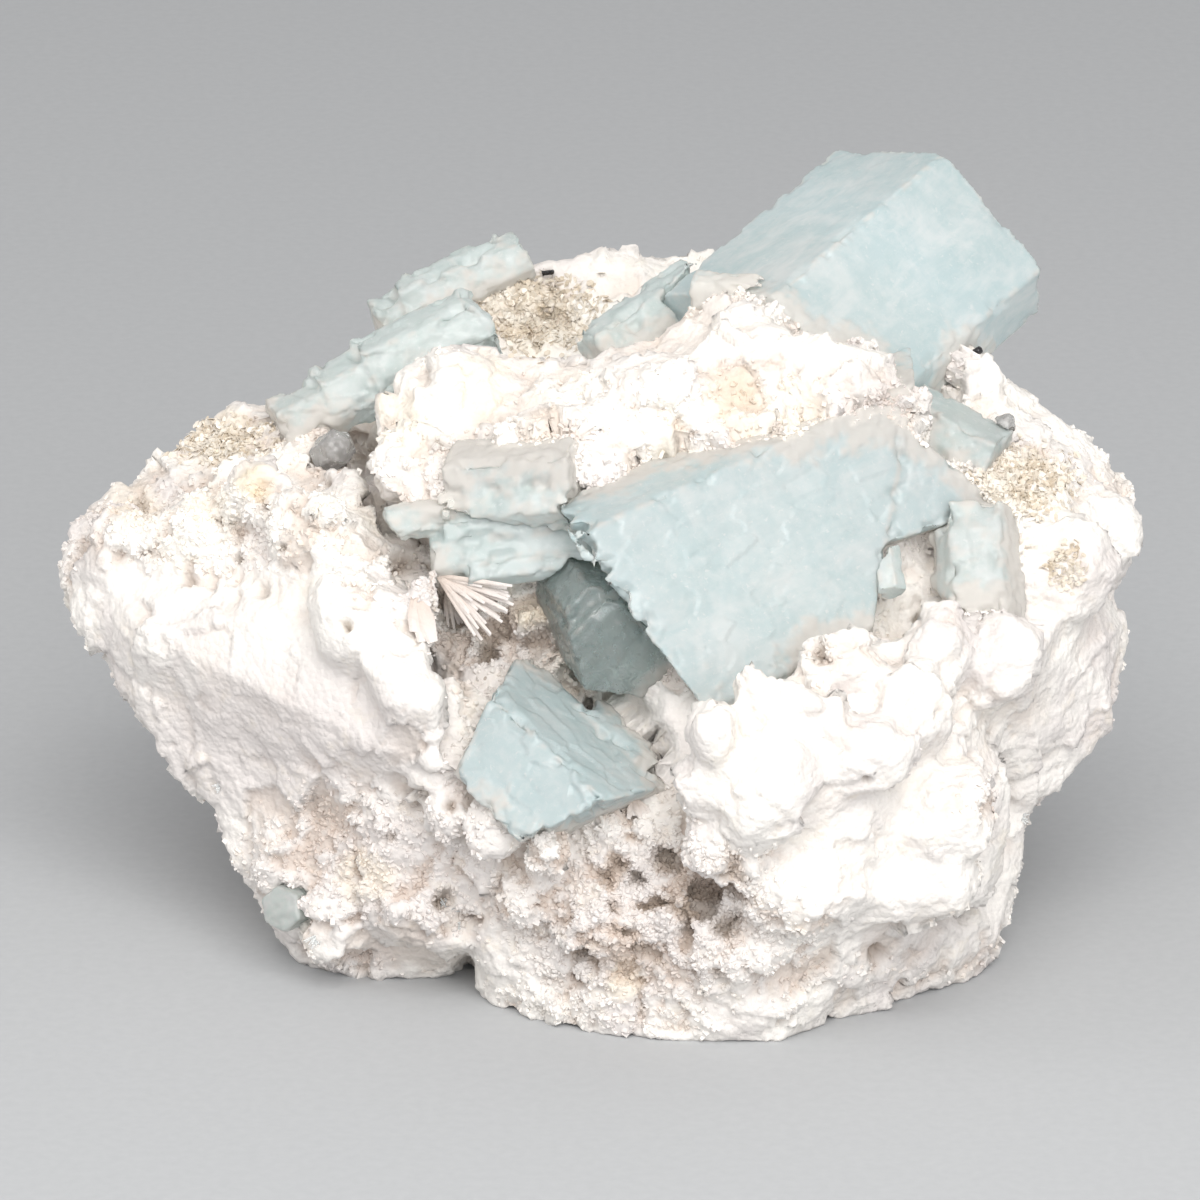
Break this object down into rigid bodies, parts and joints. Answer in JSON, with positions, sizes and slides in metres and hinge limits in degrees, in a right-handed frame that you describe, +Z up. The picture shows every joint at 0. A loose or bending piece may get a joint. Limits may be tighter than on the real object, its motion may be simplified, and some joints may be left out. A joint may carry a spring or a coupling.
{
  "type": "aquamarine crystal specimen on albite matrix",
  "caption": "Mineral specimen: pale blue, frosty six-sided beryl crystals set in a lumpy white albite rock with mica flakes, cut flat below to rest on a shelf.",
  "frame": {"origin": "middle of the flat base that the matrix rests on", "axes": "+Z up, +X to the right as the specimen is shown, +Y to the back"},
  "size_m": [0.108, 0.0955, 0.074],
  "materials": {
    "albite": "sugary broken crystal faces, matt to satin, with cream and pinkish stains",
    "aquamarine": "milky pale blue, frosted and striated along the crystal, see-through by plain transmission",
    "aquamarine_dark": "clear blue-green with bright glassy faces",
    "quartz": "smoky, glassy",
    "beryl": "nearly colourless, satin",
    "tourmaline": "black, glassy",
    "mica": "thin pearly flakes, silvery tan"
  },
  "bodies": {
    "root": {"albite_matrix": "albite", "aquamarine_main": "aquamarine", "aquamarine_broad": "aquamarine", "aquamarine_front": "aquamarine", "aquamarine_dark": "aquamarine_dark", "aquamarine_blades": "aquamarine", "aquamarine_embedded": "aquamarine", "aquamarine_shoulder": "aquamarine", "aquamarine_back": "aquamarine", "aquamarine_saddle": "aquamarine", "aquamarine_flank": "aquamarine", "aquamarine_under": "aquamarine", "aquamarine_right": "aquamarine", "aquamarine_blade": "aquamarine", "quartz_grain": "quartz", "quartz_left": "quartz", "beryl_left": "beryl", "tourmaline_right": "tourmaline", "tourmaline_left": "tourmaline", "mica_saddle": "mica", "mica_right": "mica", "mica_left": "mica", "mica_low": "mica"}
  },
  "joints": []
}
